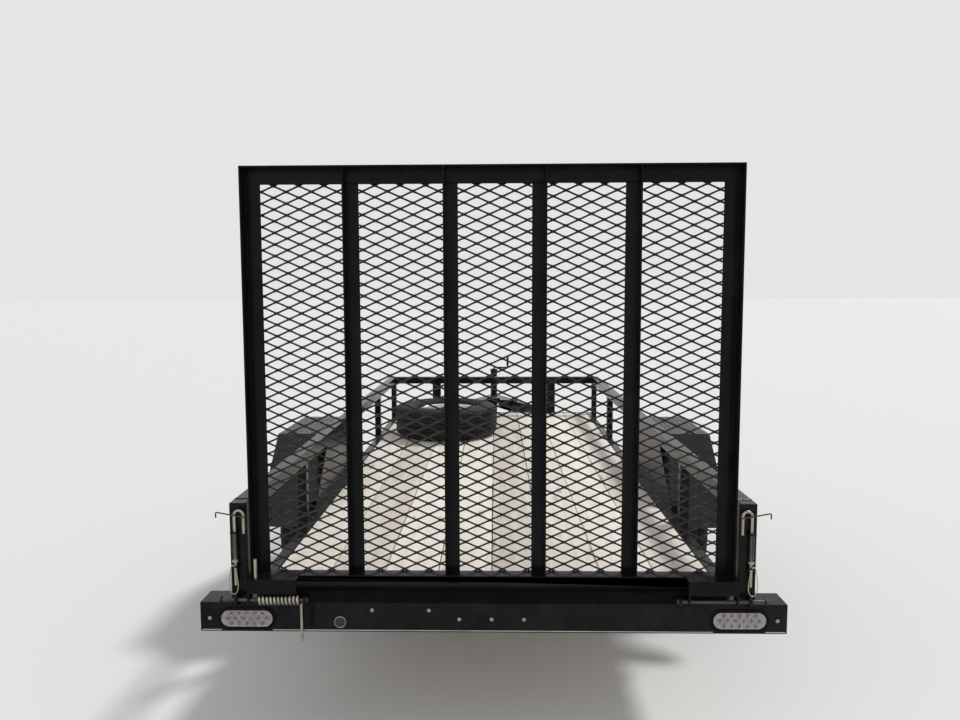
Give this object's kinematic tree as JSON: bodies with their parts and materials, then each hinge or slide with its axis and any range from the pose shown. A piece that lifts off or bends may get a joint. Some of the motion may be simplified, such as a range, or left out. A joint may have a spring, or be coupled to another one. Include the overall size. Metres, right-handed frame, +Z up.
{
  "type": "utility trailer",
  "caption": "Single-axle open utility trailer with plank deck, tube side rails, mesh ramp gate, fenders, light bar, A-frame tongue and jack.",
  "frame": {"origin": "on the floor, under the middle of the trailer's overall length and width", "axes": "+X to the trailer's right seen from behind, +Y forward to the coupler, +Z up"},
  "size_m": [2.048, 4.806, 1.8494],
  "materials": {
    "black_paint": "semi-gloss",
    "mesh_paint": "semi-gloss",
    "tread_plate": "semi-gloss",
    "timber": "weathered",
    "zinc": "zinc plated",
    "tyre": "matte",
    "rim_silver": "satin",
    "grommet": "matte",
    "lens": "gloss",
    "lens_red": "gloss",
    "cast_hub": "painted",
    "spring_steel": "matte"
  },
  "bodies": {
    "chassis": {"rear_light_bar": "black_paint", "lamp_grommets": "grommet", "tail_lamps": "lens", "marker_lamps": "lens_red", "frame_channel_left": "black_paint", "frame_channel_right": "black_paint", "front_channel": "black_paint", "crossmembers": "black_paint", "deck_planks": "timber", "deck_end_angle": "black_paint", "side_rail_left": "black_paint", "side_rail_right": "black_paint", "stakes_left": "black_paint", "stakes_right": "black_paint", "rear_posts": "black_paint", "front_rail": "black_paint", "front_posts": "black_paint", "fender_left": "tread_plate", "fender_right": "tread_plate", "fender_backings": "black_paint", "axle": "black_paint", "leaf_spring_left": "spring_steel", "leaf_spring_right": "spring_steel", "spring_hangers": "black_paint", "axle_clamps": "zinc", "spare_tyre": "tyre", "spare_rim": "rim_silver", "tongue_beam_left": "black_paint", "tongue_beam_right": "black_paint", "coupler": "black_paint", "coupler_latch": "zinc", "jack_tube": "zinc", "jack_crank": "zinc", "hinge_pin_left": "zinc", "hinge_pin_right": "zinc", "gate_coil": "zinc", "latch_left": "zinc", "latch_right": "zinc"},
    "gate": {"gate_frame": "black_paint", "gate_mesh_rising": "mesh_paint", "gate_mesh_falling": "mesh_paint", "gate_brackets": "black_paint", "gate_spring_arm": "zinc"},
    "left_wheel": {"tyre_left": "tyre", "rim_left": "rim_silver", "hub_left": "cast_hub"},
    "right_wheel": {"tyre_right": "tyre", "rim_right": "rim_silver", "hub_right": "cast_hub"},
    "jack_leg": {"jack_leg": "zinc"}
  },
  "joints": [
    {"name": "left_wheel_spin", "type": "hinge", "parent": "chassis", "child": "left_wheel", "pos_m": [-0.914, -0.88159, 0.34], "axis": [1, 0, 0], "continuous": true},
    {"name": "right_wheel_spin", "type": "hinge", "parent": "chassis", "child": "right_wheel", "pos_m": [0.914, -0.88159, 0.34], "axis": [1, 0, 0], "continuous": true},
    {"name": "gate_hinge", "type": "hinge", "parent": "chassis", "child": "gate", "pos_m": [0, -2.38589, 0.5053], "axis": [1, 0, 0], "range_deg": [0, 112]},
    {"name": "jack_slide", "type": "slide", "parent": "chassis", "child": "jack_leg", "axis": [0, 0, 1], "range_m": [0, 0.33]}
  ]
}
